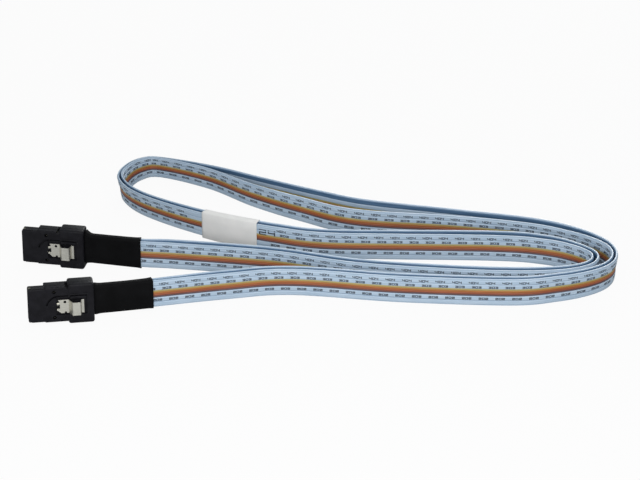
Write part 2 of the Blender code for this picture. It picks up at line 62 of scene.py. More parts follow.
# Route of the cable from plug b to plug a. Columns: x and y of the middle line in mm, rise (0 on
# the ground, 1 level with the plugs), lean in degrees, clear gap between the layers in mm, and how
# far layer 2 stands above layer 1 in mm.
ROUTE = [
    (-125.4, -20.2, 1.00, 0, 0.3, 0.0),
    (-115.6, -18.4, 1.00, 0, 0.3, 0.0),
    (-98.0, -13.6, 0.85, 0, 0.3, 0.0),
    (-48.0, 3.0, 0.24, 0, 0.6, 0.7),
    (-14.0, 9.2, 0.04, 0, 0.5, 0.7),
    (41.0, 1.2, 0.00, 0, 0.5, 0.7),
    (98.0, -2.8, 0.00, 0, 0.5, 0.7),
    (122.0, 1.6, 0.00, -2, 0.5, 0.7),
    (138.5, 8.6, 0.00, -5, 0.5, 0.7),
    (149.0, 18.2, 0.00, -7, 0.5, 0.7),
    (152.5, 31.0, 0.00, -5, 0.9, 0.7),
    (147.9, 44.0, 0.00, -2, 3.2, 0.7),
    (134.0, 57.2, 0.00, 0, 5.8, 0.7),
    (112.0, 68.3, 0.00, 0, 7.0, 0.7),
    (70.0, 78.9, 0.00, 0, 8.9, 0.7),
    (22.0, 89.3, 0.00, 1, 14.0, 0.7),
    (-6.0, 104.2, 0.00, 3, 12.6, 0.7),
    (-33.0, 122.4, 0.00, 8, 10.0, 0.7),
    (-60.0, 143.9, 0.00, 14, 3.8, 0.7),
    (-89.7, 159.0, 0.00, 18, 0.5, 0.7),
    (-101.6, 154.6, 0.00, 11, 0.5, 0.7),
    (-107.7, 141.0, 0.00, -2, 0.5, 0.7),
    (-106.9, 125.0, 0.08, -12, 0.5, 0.7),
    (-93.5, 104.2, 0.24, -14, 0.5, 0.7),
    (-60.0, 76.6, 0.556, -9, 0.9, 0.7),
    (-22.0, 58.7, 0.443, -3, 1.2, 0.7),
    (10.0, 54.0, 0.00, 0, 1.2, 0.7),
    (90.0, 52.0, 0.00, 0, 2.5, 0.7),
    (118.0, 47.5, 0.00, 0, 2.5, 0.5),
    (135.0, 38.5, 0.00, 0, 1.5, 0.2),
    (143.5, 27.0, 0.00, 0, 1.3, 0.0),
    (138.0, 15.0, 0.00, 0, 1.3, -0.3),
    (118.0, 8.7, 0.00, 0, 1.2, -0.6),
    (80.0, 9.2, 0.00, 0, 1.2, -0.7),
    (21.0, 17.6, 0.00, 0, 1.2, -0.7),
    (-24.0, 31.7, 0.04, 0, 1.2, -0.7),
    (-75.0, 38.8, 0.32, 0, 1.2, -0.7),
    (-95.0, 38.6, 0.65, 0, 0.5, -0.4),
    (-124.1, 43.0, 1.00, 0, 0.3, 0.0),
    (-133.9, 44.7, 1.00, 0, 0.3, 0.0),
]

# Sleeves and label. A sleeve is wider at its neck, on the plug, and at its bell, the open end.
SLEEVE_WALL = 0.3 * MM
SLEEVE_SEAT = 1.6 * MM
SLEEVE_LENGTH = 32.0 * MM
SLEEVE_SPACING = 0.6 * MM
SLEEVE_SQUEEZE = 0.1 * MM
SLEEVE_RIPPLE = 0.05 * MM
RIPPLES_PER_METRE = 260
BELL_START = 0.92
BELL_FLARE = 0.15 * MM
NECK_LENGTH = 4.4 * MM
NECK_LIP = 0.4 * MM
NECK_FLARE = 0.4 * MM
NECK_DROP = 0.5 * MM
NECK_RISE = {"a": 2.9 * MM, "b": 0.6 * MM}
LABEL_START = 694.0 * MM
LABEL_LENGTH = 32.0 * MM
LABEL_THICKNESS = 0.2 * MM
LABEL_SPACING = 1.0 * MM
LABEL_GAP = 0.2 * MM
LABEL_OVERLAP_GAP = 0.25 * MM
LABEL_BOW = 0.2 * MM
LABEL_SLANT = 1.7 * MM

# Print on the ribbons: rows of pair numbers, each row at a height and a start along the cable
PRINT_PITCH = 8.55 * MM
PRINT_HEIGHT = 0.92 * MM
DIGIT_WIDTH = 1.15 * MM
DIGIT_PITCH = 1.7 * MM
STROKE = 0.34 * MM
STROKE_PIECE = 0.35 * MM
INK_LIFT = 0.03 * MM
PRINT_ROWS = ((12.75 * MM, 4.0 * MM, "404"), (10.3 * MM, 5.6 * MM, "303"), (3.95 * MM, 0.6 * MM, "202"))

# Stamp: one large number beside the label, which leaves out the print rows that it would cover
STAMP = "24"
STAMP_START = LABEL_START + LABEL_LENGTH + 1.4 * MM
STAMP_SCALE = 2.9
STAMP_STROKE = 0.72 * MM
STAMP_HEIGHT = 10.7 * MM
STAMP_ROOM = 10.5 * MM
STAMP_REACH = 3.0 * MM

# Plug, in its own frame: the origin is the middle of its rear face, -X runs to the nose, -Y is the
# latch side and Z runs across its width
MIDDLE_X = -13.2 * MM
NOSE_X = -25.2 * MM
TIP_X = -33.5 * MM
REAR_FRONT_Y = -4.7 * MM
FRONT_Y = -4.2 * MM
REAR_BACK_Y = 4.2 * MM
MIDDLE_BACK_Y = 3.2 * MM
NOSE_BACK_Y = 1.4 * MM
REAR_HALF = 11.0 * MM
MIDDLE_HALF = 9.7 * MM
NOSE_HALF = 9.2 * MM
REAR_ROUNDING = 1.15 * MM
MIDDLE_ROUNDING = 0.5 * MM
NOSE_ROUNDING = 0.75 * MM
NOSE_WALL = 0.8 * MM
EDGE_ROUNDING = 0.1 * MM
HOLLOW_HALF = 8.8 * MM
CARD_Y = -1.4 * MM
CARD_THICKNESS = 1.0 * MM
MOUNT_Y = FRONT_Y + 0.6 * MM
PIN_X = -20.2 * MM
PIN_Z = 7.1 * MM
PIN_RADIUS = 0.9 * MM
PIN_HOLE_RADIUS = 0.95 * MM
GROOVE_WIDTH = 1.0 * MM
GROOVE_DEPTH = 1.2 * MM
GRIP_COUNT = 5
GRIP_PITCH = 1.7 * MM
LIP_HEIGHT = 0.18 * MM
CONTACT_COUNT = 18
CONTACT_PITCH = 0.8 * MM
CONTACT_WIDTH = 0.45 * MM
CONTACT_HEIGHT = 0.04 * MM
CONTACT_LENGTH = 4.6 * MM
GROUND_CONTACT_LENGTH = 5.4 * MM
LATCH_Z = -1.0 * MM
LATCH_REAR_X = -5.2 * MM
LATCH_TIP_X = -19.0 * MM
LATCH_Y = REAR_FRONT_Y + 0.4 * MM
LATCH_THICKNESS = 0.4 * MM
LATCH_TIP_HALF = 3.7 * MM
TAB_HEIGHT = 3.5 * MM
LATCH_HOLE = (-14.9 * MM, LATCH_Z + 2.45 * MM)
LATCH_NOTCH_X = -14.6 * MM
POCKET_HALF = 4.75 * MM
BED_Y = -3.25 * MM
HOLE_FLOOR_Y = -2.8 * MM


# Nodes and materials

RELIEF_DEPTH = 0.05 * MM


def new_material(name):
    made = bpy.data.materials.new(name)
    made.use_nodes = True
    return made, made.node_tree, made.node_tree.nodes["Principled BSDF"]


def noise_node(tree, scale, detail=3.0, stretch=(1.0, 1.0, 1.0), source="Object"):
    place = tree.nodes.new("ShaderNodeTexCoord")
    mapping = tree.nodes.new("ShaderNodeMapping")
    mapping.inputs["Scale"].default_value = stretch
    tree.links.new(place.outputs[source], mapping.inputs["Vector"])
    grain = tree.nodes.new("ShaderNodeTexNoise")
    grain.inputs["Scale"].default_value = scale
    grain.inputs["Detail"].default_value = detail
    tree.links.new(mapping.outputs["Vector"], grain.inputs["Vector"])
    return grain.outputs["Fac"]


def between(tree, factor, first, second, low=0.35, high=0.65):
    """A colour that runs from first to second as factor runs from low to high."""
    ramp = tree.nodes.new("ShaderNodeValToRGB")
    ramp.color_ramp.elements[0].position = low
    ramp.color_ramp.elements[0].color = (*first, 1.0)
    ramp.color_ramp.elements[1].position = high
    ramp.color_ramp.elements[1].color = (*second, 1.0)
    tree.links.new(factor, ramp.inputs["Fac"])
    return ramp.outputs["Color"]


def spread(tree, factor, low, high):
    """A value from low to high."""
    scaled = tree.nodes.new("ShaderNodeMapRange")
    scaled.inputs["To Min"].default_value = low
    scaled.inputs["To Max"].default_value = high
    tree.links.new(factor, scaled.inputs["Value"])
    return scaled.outputs["Result"]


def bump(tree, shader, height, strength):
    relief = tree.nodes.new("ShaderNodeBump")
    relief.inputs["Strength"].default_value = strength
    relief.inputs["Distance"].default_value = RELIEF_DEPTH
    tree.links.new(height, relief.inputs["Height"])
    tree.links.new(relief.outputs["Normal"], shader.inputs["Normal"])


def varied(name, dark, light, rough, scale, metallic=0.0, relief=0.0, fine=None, coat=0.0,
           gloss=0.5, stretch=(1.0, 1.0, 1.0), source="Object"):
    """A surface whose colour and roughness vary gently, with a fine relief."""
    made, tree, shader = new_material(name)
    cloud = noise_node(tree, scale, stretch=stretch, source=source)
    tree.links.new(between(tree, cloud, dark, light), shader.inputs["Base Color"])
    tree.links.new(spread(tree, cloud, *rough), shader.inputs["Roughness"])
    shader.inputs["Metallic"].default_value = metallic
    shader.inputs["Coat Weight"].default_value = coat
    shader.inputs["Coat Roughness"].default_value = 0.2
    shader.inputs["Specular IOR Level"].default_value = gloss
    if relief:
        bump(tree, shader, noise_node(tree, fine or scale * 6, source=source), relief)
    return made


def make_materials():
    along = {"source": "UV", "stretch": (60.0, 900.0, 1.0)}
    return {
        "pair": varied("pair_insulation", (0.40, 0.52, 0.65), (0.49, 0.60, 0.72), (0.30, 0.42), 1.0,
                       relief=0.12, fine=3.0, coat=0.35, **along),
        # Painted shade: a darker blue on the narrow grooves between pairs, standing in for the shade in
        # these valleys.
        "groove_shade": varied("painted_groove_shade", (0.20, 0.29, 0.41), (0.27, 0.37, 0.49), (0.4, 0.5), 1.0, **along),
        # Painted shade: a dark blue laid on a layer's face towards the other layer, standing in for the
        # shadow between the layers.
        "shade": varied("painted_inner_shade", (0.05, 0.115, 0.215), (0.08, 0.16, 0.275), (0.5, 0.6), 1.0, **along),
        "yellow": varied("yellow_wire", (0.39, 0.31, 0.10), (0.46, 0.37, 0.125), (0.35, 0.48), 1.0,
                         **along),
        "orange": varied("orange_wire", (0.36, 0.125, 0.024), (0.43, 0.155, 0.033), (0.35, 0.48), 1.0,
                         **along),
        "red": varied("red_wire", (0.28, 0.070, 0.025), (0.34, 0.088, 0.034), (0.35, 0.48), 1.0,
                      **along),
        "dark": varied("brown_wire", (0.10, 0.05, 0.05), (0.14, 0.07, 0.07), (0.38, 0.48), 1.0,
                       **along),
        "ink": varied("print_ink", (0.02, 0.03, 0.05), (0.035, 0.045, 0.07), (0.5, 0.6), 1500.0),
        "nylon": varied("black_nylon", (0.0065, 0.0062, 0.0082), (0.0105, 0.0102, 0.0132), (0.40, 0.52),
                        260.0, relief=0.2, fine=5200.0, gloss=0.14),
        "cover": varied("black_nylon_cover", (0.0048, 0.0048, 0.006), (0.008, 0.008, 0.0098),
                        (0.42, 0.56), 240.0, relief=0.2, fine=4800.0, gloss=0.14),
        "sleeve": varied("heat_shrink", (0.0022, 0.0022, 0.0025), (0.004, 0.004, 0.0045), (0.6, 0.75),
                         160.0, relief=0.3, fine=1900.0, gloss=0.08),
        "steel": varied("spring_steel", (0.74, 0.72, 0.645), (0.84, 0.815, 0.73), (0.30, 0.40), 90.0,
                        metallic=1.0, relief=0.06, fine=1.0, stretch=(4.0, 4.0, 30.0)),
        # The board's own beige colour, darkened and greyed as painted shade for the card slot in the nose
        # where it shows.
        "board": varied("circuit_board", (0.12, 0.12, 0.085), (0.21, 0.205, 0.15), (0.4, 0.55), 700.0,
                        relief=0.2, fine=6000.0),
        "gold": varied("gold_contact", (0.85, 0.60, 0.22), (0.95, 0.70, 0.30), (0.2, 0.3), 900.0,
                       metallic=1.0),
        "tin": varied("tinned_copper", (0.66, 0.63, 0.58), (0.80, 0.77, 0.72), (0.25, 0.4), 900.0,
                      metallic=1.0),
        "rubber": varied("grommet_rubber", (0.02, 0.02, 0.02), (0.035, 0.035, 0.035), (0.7, 0.85),
                         300.0, relief=0.3, fine=3000.0),
        "paper": varied("label_paper", (0.78, 0.77, 0.75), (0.82, 0.805, 0.785), (0.5, 0.62), 120.0,
                        relief=0.1, fine=5200.0),
    }


# Meshes

def new_object(name, data):
    item = bpy.data.objects.new(name, data)
    bpy.context.scene.collection.objects.link(item)
    return item


def new_mesh(name, shape):
    mesh = bpy.data.meshes.new(name)
    shape.to_mesh(mesh)
    shape.free()
    return mesh


def add_mesh(name, mesh, body="cable", smooth_angle=40.0):
    item = new_object(name, mesh)
    mesh.shade_smooth()
    mesh.set_sharp_from_angle(angle=math.radians(smooth_angle))
    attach(item, body)
    return item


def loft(name, rows, materials, slot_of=None, closed=True, coords=None):
    """Faces through rows of points. slot_of gives a face its material; coords its UV places."""
    count = len(rows[0])
    columns = count if closed else count - 1
    faces = []
    kinds = []
    for row in range(len(rows) - 1):
        for column in range(columns):
            near = row * count + column
            side = row * count + (column + 1) % count
            faces.append((near, near + count, side + count, side))
            kinds.append(slot_of(row, column) if slot_of else 0)
    if closed:
        faces.append(tuple(range(count)))
        faces.append(tuple(reversed(range(len(rows) * count - count, len(rows) * count))))
        kinds += [0, 0]
    mesh = bpy.data.meshes.new(name)
    mesh.from_pydata([point for row in rows for point in row], [], faces)
    for item in materials:
        mesh.materials.append(item)
    mesh.polygons.foreach_set("material_index", kinds)
    if coords:
        layer = mesh.uv_layers.new(name="Along")
        places = [place for row in coords for place in row]
        for loop in mesh.loops:
            layer.data[loop.index].uv = places[loop.vertex_index]
    return mesh


# The cable's path

def catmull_rom(before, start, end, after, share):
    """One value on the smooth curve between start and end."""
    return 0.5 * (
        2 * start
        + (end - before) * share
        + (2 * before - 5 * start + 4 * end - after) * share ** 2
        + (3 * start - before - 3 * end + after) * share ** 3
    )


def station(values):
    x, y, rise, lean, gap, step = values
    lean = math.radians(lean)
    lower_edge = LAYER_THICKNESS / 2 * abs(math.sin(lean))
    return {
        "middle": Vector((x * MM, y * MM)),
        "rise": max(rise, 0.0) * SEAT_RISE + lower_edge,
        "lean": lean,
        "gap": gap * MM,
        "step": step * MM,
    }


def cable_stations(spacing):
    """Stations along the whole route, with their distances and the direction to their left."""
    first = [2 * a - b for a, b in zip(ROUTE[0], ROUTE[1])]
    last = [2 * a - b for a, b in zip(ROUTE[-1], ROUTE[-2])]
    points = [first, *ROUTE, last]
    places = []
    for index in range(1, len(points) - 2):
        span = math.dist(points[index][:2], points[index + 1][:2]) * MM
        samples = max(2, math.ceil(span / spacing))
        for sample in range(samples):
            columns = zip(*points[index - 1:index + 3])
            values = [catmull_rom(*column, sample / samples) for column in columns]
            places.append(station(values))
    places.append(station(ROUTE[-1]))
    distance = 0.0
    for index, place in enumerate(places):
        ahead = places[min(index + 1, len(places) - 1)]["middle"]
        behind = places[max(index - 1, 0)]["middle"]
        if index:
            distance += (place["middle"] - behind).length
        heading = (ahead - behind).normalized()
        place["normal"] = Vector((-heading.y, heading.x))
        place["distance"] = distance
    return places


def blend(first, second, share):
    mixed = {key: value + (second[key] - value) * share for key, value in first.items()}
    mixed["normal"] = mixed["normal"].normalized()
    return mixed


class Path:
    """The cable's stations in the frame of the solids."""

    def __init__(self, shift):
        self.places = cable_stations(SAMPLE_SPACING)
        for place in self.places:
            place["middle"] = place["middle"] + shift
        self.length = self.places[-1]["distance"]
        self.cursor = 0

    def at(self, distance):
        """The station at a distance along the cable, found quickest if it is near the last one."""
        places = self.places
        while self.cursor > 0 and places[self.cursor]["distance"] > distance:
            self.cursor -= 1
        while self.cursor < len(places) - 2 and places[self.cursor + 1]["distance"] < distance:
            self.cursor += 1
        first, second = places[self.cursor], places[self.cursor + 1]
        span = second["distance"] - first["distance"]
        return blend(first, second, (distance - first["distance"]) / span)


def across(place, side, height):
    """A point at a distance to the left of the middle line and a height up the leaning ribbon."""
    left = side + height * math.sin(place["lean"])
    spot = place["middle"] + place["normal"] * left
    return Vector((spot.x, spot.y, place["rise"] + height * math.cos(place["lean"])))


# Ribbon layers

LOW_MARGIN = 0.3 * MM
PAIR = 2.5 * MM
WIRES = {"dark": 0.9 * MM, "red": 1.0 * MM, "orange": 1.1 * MM, "yellow": 0.95 * MM}
PAIR_OUTLINE = ((0.0, 0.42), (0.04, 0.60), (0.10, 0.73), (0.22, 0.80), (0.38, 0.79), (0.50, 0.765),
                (0.62, 0.79), (0.78, 0.80), (0.90, 0.73), (0.96, 0.60))
WIRE_OUTLINE = ((0.0, 0.34), (0.12, 0.47), (0.32, 0.56), (0.50, 0.58), (0.68, 0.56), (0.88, 0.47))
# The last stripe is named top pair so that its face towards the other layer can take painted shade.
STRIPES = ("pair", "pair", "dark", "red", "orange", "yellow", "pair", "top pair")
SLOTS = ("pair", "groove_shade", "dark", "red", "orange", "yellow", "shade")
# Painted shade reaches up to just below a layer's top edge, on inner faces where the layers are closer than
# SHADE_GAP.
SHADE_BELOW = RIBBON_WIDTH - 0.05 * MM
SHADE_GAP = 3.0 * MM


def ribbon_profile():
    """Heights, half thicknesses and outer and inner materials up one side of a ribbon layer; the top pair's
    inner face gets painted shade.
    """
    points = [(0.0, 0.30 * MM, 0, 0), (0.08 * MM, 0.44 * MM, 0, 0)]
    height = LOW_MARGIN
    for stripe in STRIPES:
        wire = stripe in WIRES
        wide = WIRES.get(stripe, PAIR)
        for share, half in WIRE_OUTLINE if wire else PAIR_OUTLINE:
            # The narrow groove at each end of a pair gets painted shade.
            kind = stripe if wire else "groove_shade" if share in (0.0, 0.96) else "pair"
            # The top pair's face towards the other layer gets painted shade.
            inner = "shade" if kind == "pair" and stripe == "top pair" else kind
            points.append((height + share * wide, half * MM, SLOTS.index(kind), SLOTS.index(inner)))
        height += wide
    points.append((height, 0.40 * MM, 0, 0))
    points.append((RIBBON_WIDTH, 0.30 * MM, 0, 0))
    return points


def surface_half(profile, height):
    """Half the thickness of a layer at a height."""
    for low, high in zip(profile, profile[1:]):
        if height <= high[0]:
            share = (height - low[0]) / (high[0] - low[0])
            return low[1] + (high[1] - low[1]) * max(share, 0.0)
    return profile[-1][1]


def layer_point(place, side, depth, height):
    """A point of layer 1 (side -1) or 2 (side 1), at a depth to the left of the layer's middle."""
    offset = side * (LAYER_THICKNESS + place["gap"]) / 2 + depth
    return across(place, offset, max(side * place["step"], 0.0) + height)


def ribbon_layer(name, path, side, materials):
    """A layer whose face towards the other gets painted shade: at its top pair, and all over where they are
    close.
    """
    profile = ribbon_profile()
    count = len(profile)
    ring = [(half, height) for height, half, *_ in profile]
    ring += [(-half, height) for height, half, *_ in reversed(profile)]

    def slot_of(row, column):
        if column in (count - 1, 2 * count - 1):
            return 0
        left = column < count
        index = column if left else 2 * count - 2 - column
        inner = left == (side < 0)
        # Painted shade all over the inner face where the layers are close.
        close = path.places[row]["gap"] < SHADE_GAP
        if inner and close and profile[index + 1][0] < SHADE_BELOW:
            return SLOTS.index("shade")
        return profile[index][3 if inner else 2]

    rows = [[layer_point(place, side, *point) for point in ring] for place in path.places]
    coords = [[(place["distance"], height) for _, height in ring] for place in path.places]
    mesh = loft(name, rows, [materials[slot] for slot in SLOTS], slot_of, coords=coords)
    item = add_mesh(name, mesh, smooth_angle=50.0)
    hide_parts(name.replace("printed_ribbon", "ribbon_layer"))
    return item


# Digits as strokes on a grid 1 wide and 2 high, each a pair of ends

DIGIT_STROKES = {
    "0": (((0, 0), (1, 0)), ((1, 0), (1, 2)), ((1, 2), (0, 2)), ((0, 2), (0, 0))),
    "2": (((0, 2), (1, 2)), ((1, 2), (1, 1)), ((1, 1), (0, 1)), ((0, 1), (0, 0)), ((0, 0), (1, 0))),
    "3": (((0, 2), (1, 2)), ((1, 2), (1, 0)), ((0.2, 1), (1, 1)), ((0, 0), (1, 0))),
    "4": (((0, 2), (0, 1)), ((0, 1), (1, 1)), ((1, 2), (1, 0))),
}


def ribbon_print(name, path, side, materials):
    """Pair numbers repeated along the outer face of a layer, and on layer 1 the stamp by the label."""
    profile = ribbon_profile()
    points = []
    faces = []
    for height, start, number in PRINT_ROWS:
        distance = SLEEVE_LENGTH + start
        while distance < path.length - SLEEVE_LENGTH:
            gap_end = LABEL_START + LABEL_LENGTH
            if side < 0 and abs(height - STAMP_HEIGHT) < STAMP_REACH:
                gap_end += STAMP_ROOM
            if not LABEL_START - PRINT_PITCH < distance < gap_end:
                for index, digit in enumerate(number):
                    left = distance + index * DIGIT_PITCH
                    strokes(DIGIT_STROKES[digit], left, height, path, side, profile, points, faces)
            distance += PRINT_PITCH
    if side < 0:
        for index, digit in enumerate(STAMP):
            left = STAMP_START + index * DIGIT_PITCH * STAMP_SCALE
            strokes(DIGIT_STROKES[digit], left, STAMP_HEIGHT, path, side, profile, points, faces,
                    STAMP_SCALE, STAMP_STROKE)
    mesh = bpy.data.meshes.new(name)
    mesh.from_pydata(points, [], faces)
    mesh.materials.append(materials["ink"])
    item = add_mesh(name, mesh)
    return item


def strokes(lines, left, height, path, side, profile, points, faces, scale=1.0, width=STROKE):
    """Adds one digit's strokes, laid on the layer's outer face in short pieces."""
    tall = PRINT_HEIGHT / 2 * scale
    wide = DIGIT_WIDTH * scale
    for (x1, y1), (x2, y2) in lines:
        start = Vector((x1 * wide, y1 * tall - tall))
        end = Vector((x2 * wide, y2 * tall - tall))
        run = (end - start).normalized() * width / 2
        over = Vector((-run.y, run.x))
        start, end = start - run, end + run
        pieces = max(1, math.ceil(abs(end.y - start.y) / STROKE_PIECE))
        columns = math.ceil(width / STROKE_PIECE)
        base = len(points)
        for piece in range(pieces + 1):
            middle = start + (end - start) * piece / pieces
            for column in range(columns + 1):
                corner = middle + over * (2 * column / columns - 1)
                level = height + corner.y
                depth = side * (surface_half(profile, level) + INK_LIFT)
                points.append(layer_point(path.at(left - side * corner.x), side, depth, level))
        row = columns + 1
        for first in (base + piece * row + column for piece in range(pieces) for column in range(columns)):
            loop = [first, first + 1, first + row + 1, first + row]
            faces.append(loop if side > 0 else loop[::-1])


# Sleeves and label

def rounded_ring(half_depth, low, high, radius, per_corner=4):
    """A rounded oblong outline, across the cable and up."""
    ring = []
    centres = ((half_depth - radius, high - radius), (radius - half_depth, high - radius),
               (radius - half_depth, low + radius), (half_depth - radius, low + radius))
    for corner, (side, height) in enumerate(centres):
        for index in range(per_corner + 1):
            angle = math.pi / 2 * (corner + index / per_corner)
            ring.append((side + radius * math.cos(angle), height + radius * math.sin(angle)))
    return ring


def sleeve(mark, path, materials):
    """Heat-shrink tube that hugs both layers and is pushed up against the plug's rear face."""
    rows = []
    count = math.ceil(SLEEVE_LENGTH / SLEEVE_SPACING)
    for index in range(count + 1):
        along = index / count
        out = along * SLEEVE_LENGTH - SLEEVE_SEAT
        neck = 0.0
        if 0 < out < NECK_LENGTH:
            neck = min(out / NECK_LIP, 1.0) * (1 - out / NECK_LENGTH) ** 2
        bell = BELL_FLARE * max(0.0, along - BELL_START) / (1 - BELL_START)
        squeeze = SLEEVE_SQUEEZE * math.sin(math.pi * along)
        place = sleeve_place(mark, path, out)
        slack = FIT_GAP + SLEEVE_WALL / 2 + bell
        side = LAYER_THICKNESS + place["gap"] / 2 + slack - squeeze + NECK_FLARE * neck
        low = -slack - NECK_DROP * neck
        high = RIBBON_WIDTH + abs(place["step"]) + slack + NECK_RISE[mark] * neck
        row = []
        for point in rounded_ring(side, low, high, min(side, 2.2 * MM) * 0.55):
            level = (2 * point[1] - low - high) / (high - low)
            spot = across(sleeve_place(mark, path, out + end_cut(mark, level) * along ** 8), *point)
            ripple = noise.noise(spot * RIPPLES_PER_METRE) * SLEEVE_RIPPLE
            row.append(spot + Vector((place["normal"].x, place["normal"].y, 0)) * ripple)
        rows.append(row)
    mesh = loft(f"shrink_sleeve_{mark}", rows, [materials["sleeve"]])
    mesh_open(mesh)
    item = add_mesh(f"shrink_sleeve_{mark}", mesh, smooth_angle=60.0)
    wall = item.modifiers.new("Wall", "SOLIDIFY")
    wall.thickness = SLEEVE_WALL
    wall.offset = 0.0
    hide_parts(f"sleeve_{mark}")
    return item


def sleeve_place(mark, path, out):
    """The cable's station at a distance outside a plug's rear face."""
    distance = CABLE_INSET + out
    return path.at(distance if mark == "b" else path.length - distance)


def end_cut(mark, level):
    """How far the sleeve's open end is moved out, at a level from -1, below, to 1, above."""
    if mark == "a":
        return -0.45 * MM - 0.5 * MM * (1 - level ** 2)
    return 0.2 * MM


def mesh_open(mesh):
    """Removes the end caps of a lofted tube."""
    shape = bmesh.new()
    shape.from_mesh(mesh)
    caps = [face for face in shape.faces if len(face.verts) > 4]
    bmesh.ops.delete(shape, geom=caps, context="FACES_ONLY")
    shape.to_mesh(mesh)
    shape.free()


def label(path, materials):
    """A paper strip wrapped once round both layers, loose below, its end stuck down behind."""
    count = math.ceil(LABEL_LENGTH / LABEL_SPACING)
    rows = []
    for index in range(count + 1):
        along = index / count
        distance = LABEL_START + LABEL_LENGTH * along
        place = path.at(distance)
        side = LAYER_THICKNESS + place["gap"] / 2 + LABEL_GAP
        low = -min(place["rise"] - 0.15 * MM, 1.1 * MM)
        high = RIBBON_WIDTH + abs(place["step"]) + LABEL_GAP
        bow = LABEL_BOW * math.sin(math.pi * along)
        outer = side + LABEL_OVERLAP_GAP
        outline = [(outer, high * 0.72), (outer, high * 0.4), (outer - 0.05 * MM, low + 0.4 * MM),
                   (side - 0.35 * MM, low), (0.35 * MM - side, low), (-side, low + 0.4 * MM),
                   (-side - bow * 0.5, high * 0.3), (-side - bow, high * 0.6),
                   (-side, high - 0.4 * MM), (0.35 * MM - side, high), (side - 0.35 * MM, high),
                   (side, high - 0.4 * MM), (side, high * 0.45), (side, 2.0 * MM)]
        slant = LABEL_SLANT * (1 - 0.7 * along)
        row = []
        for point in outline:
            share = (point[1] - low) / (high - low)
            row.append(across(path.at(distance - slant * (1 - share)), *point))
        rows.append(row)
    mesh = loft("paper_label", rows, [materials["paper"]], closed=False)
    item = add_mesh("paper_label", mesh, smooth_angle=70.0)
    wall = item.modifiers.new("Thickness", "SOLIDIFY")
    wall.thickness = LABEL_THICKNESS
    wall.offset = 0.0
    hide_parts("cable_label")
    return item


# Plug pieces

def plug_frame(mark):
    """The plug's frame, from the mount on its nose."""
    mount = next(m for m in frame["record"]["mounts"] if m["name"] == f"mating_face_{mark}")
    outward = -Vector(mount["axis"])
    turn = Matrix.Rotation(math.atan2(outward.y, outward.x), 4, "Z")
    tip = Vector(mount["pos_m"])
    origin = tip - (turn @ Vector((TIP_X, MOUNT_Y, 0.0)))
    return Matrix.Translation(origin) @ turn


def box_mesh(low, high):
    shape = bmesh.new()
    bmesh.ops.create_cube(shape, size=1.0)
    low, high = Vector(low), Vector(high)
    bmesh.ops.scale(shape, vec=high - low, verts=shape.verts)
    bmesh.ops.translate(shape, vec=(low + high) / 2, verts=shape.verts)
    return shape


def rounded_box(low, high, radius):
    shape = box_mesh(low, high)
    bmesh.ops.bevel(shape, geom=list(shape.edges), offset=radius, segments=3, affect="EDGES", profile=0.5)
    return shape


def post(x, z, low_y, high_y, radius, segments=32):
    """A round bar along the plug's Y."""
    shape = bmesh.new()
    bmesh.ops.create_cone(shape, cap_ends=True, segments=segments, radius1=radius, radius2=radius,
                          depth=high_y - low_y)
    bmesh.ops.rotate(shape, matrix=Matrix.Rotation(math.pi / 2, 3, "X"), verts=shape.verts)
    bmesh.ops.translate(shape, vec=(x, (low_y + high_y) / 2, z), verts=shape.verts)
    return shape


def plate_shape(outline, low_y, high_y):
    """A flat outline in the plug's X and Z, as thick as its two Y values are apart."""
    shape = bmesh.new()
    near = [shape.verts.new((x, low_y, z)) for x, z in outline]
    face = shape.faces.new(near)
    grown = bmesh.ops.extrude_face_region(shape, geom=[face])
    moved = [item for item in grown["geom"] if isinstance(item, bmesh.types.BMVert)]
    bmesh.ops.translate(shape, vec=(0, high_y - low_y, 0), verts=moved)
    bmesh.ops.recalc_face_normals(shape, faces=list(shape.faces))
    return shape


def carve(base, steps):
    """Joins, keeps or cuts shapes in turn, and gives back the finished mesh."""
    item = new_object("carved", new_mesh("carved", base))
    tools = []
    for operation, shape in steps:
        tool = new_object("tool", new_mesh("tool", shape))
        tools.append(tool)
        step = item.modifiers.new(operation, "BOOLEAN")
        step.operation = operation
        step.object = tool
        step.solver = "EXACT"
    bpy.context.view_layer.update()
    evaluated = item.evaluated_get(bpy.context.evaluated_depsgraph_get())
    mesh = bpy.data.meshes.new_from_object(evaluated)
    for spare in [item, *tools]:
        bpy.data.objects.remove(spare, do_unlink=True)
    return mesh


def soften(item, width):
    """Rounds the sharp edges."""
    edge = item.modifiers.new("Edges", "BEVEL")
    edge.width = width
    edge.segments = 2
    edge.limit_method = "ANGLE"
    edge.angle_limit = math.radians(35.0)
    edge.harden_normals = True
    return item


def place_piece(name, mesh, matrix, kind, body="cable", replaces=None):
    mesh.transform(matrix)
    mesh.materials.clear()
    mesh.materials.append(kind)
    item = add_mesh(name, mesh, body, smooth_angle=32.0)
    if replaces:
        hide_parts(replaces)
    return item


def mirrored(x_low, x_high, y_low, y_high, half):
    """The two corners of a box that reaches as far to both sides of the plug's middle."""
    return (x_low, y_low, -half), (x_high, y_high, half)


def rear_block():
    return rounded_box(*mirrored(MIDDLE_X, 0.0, REAR_FRONT_Y, REAR_BACK_Y, REAR_HALF), REAR_ROUNDING)


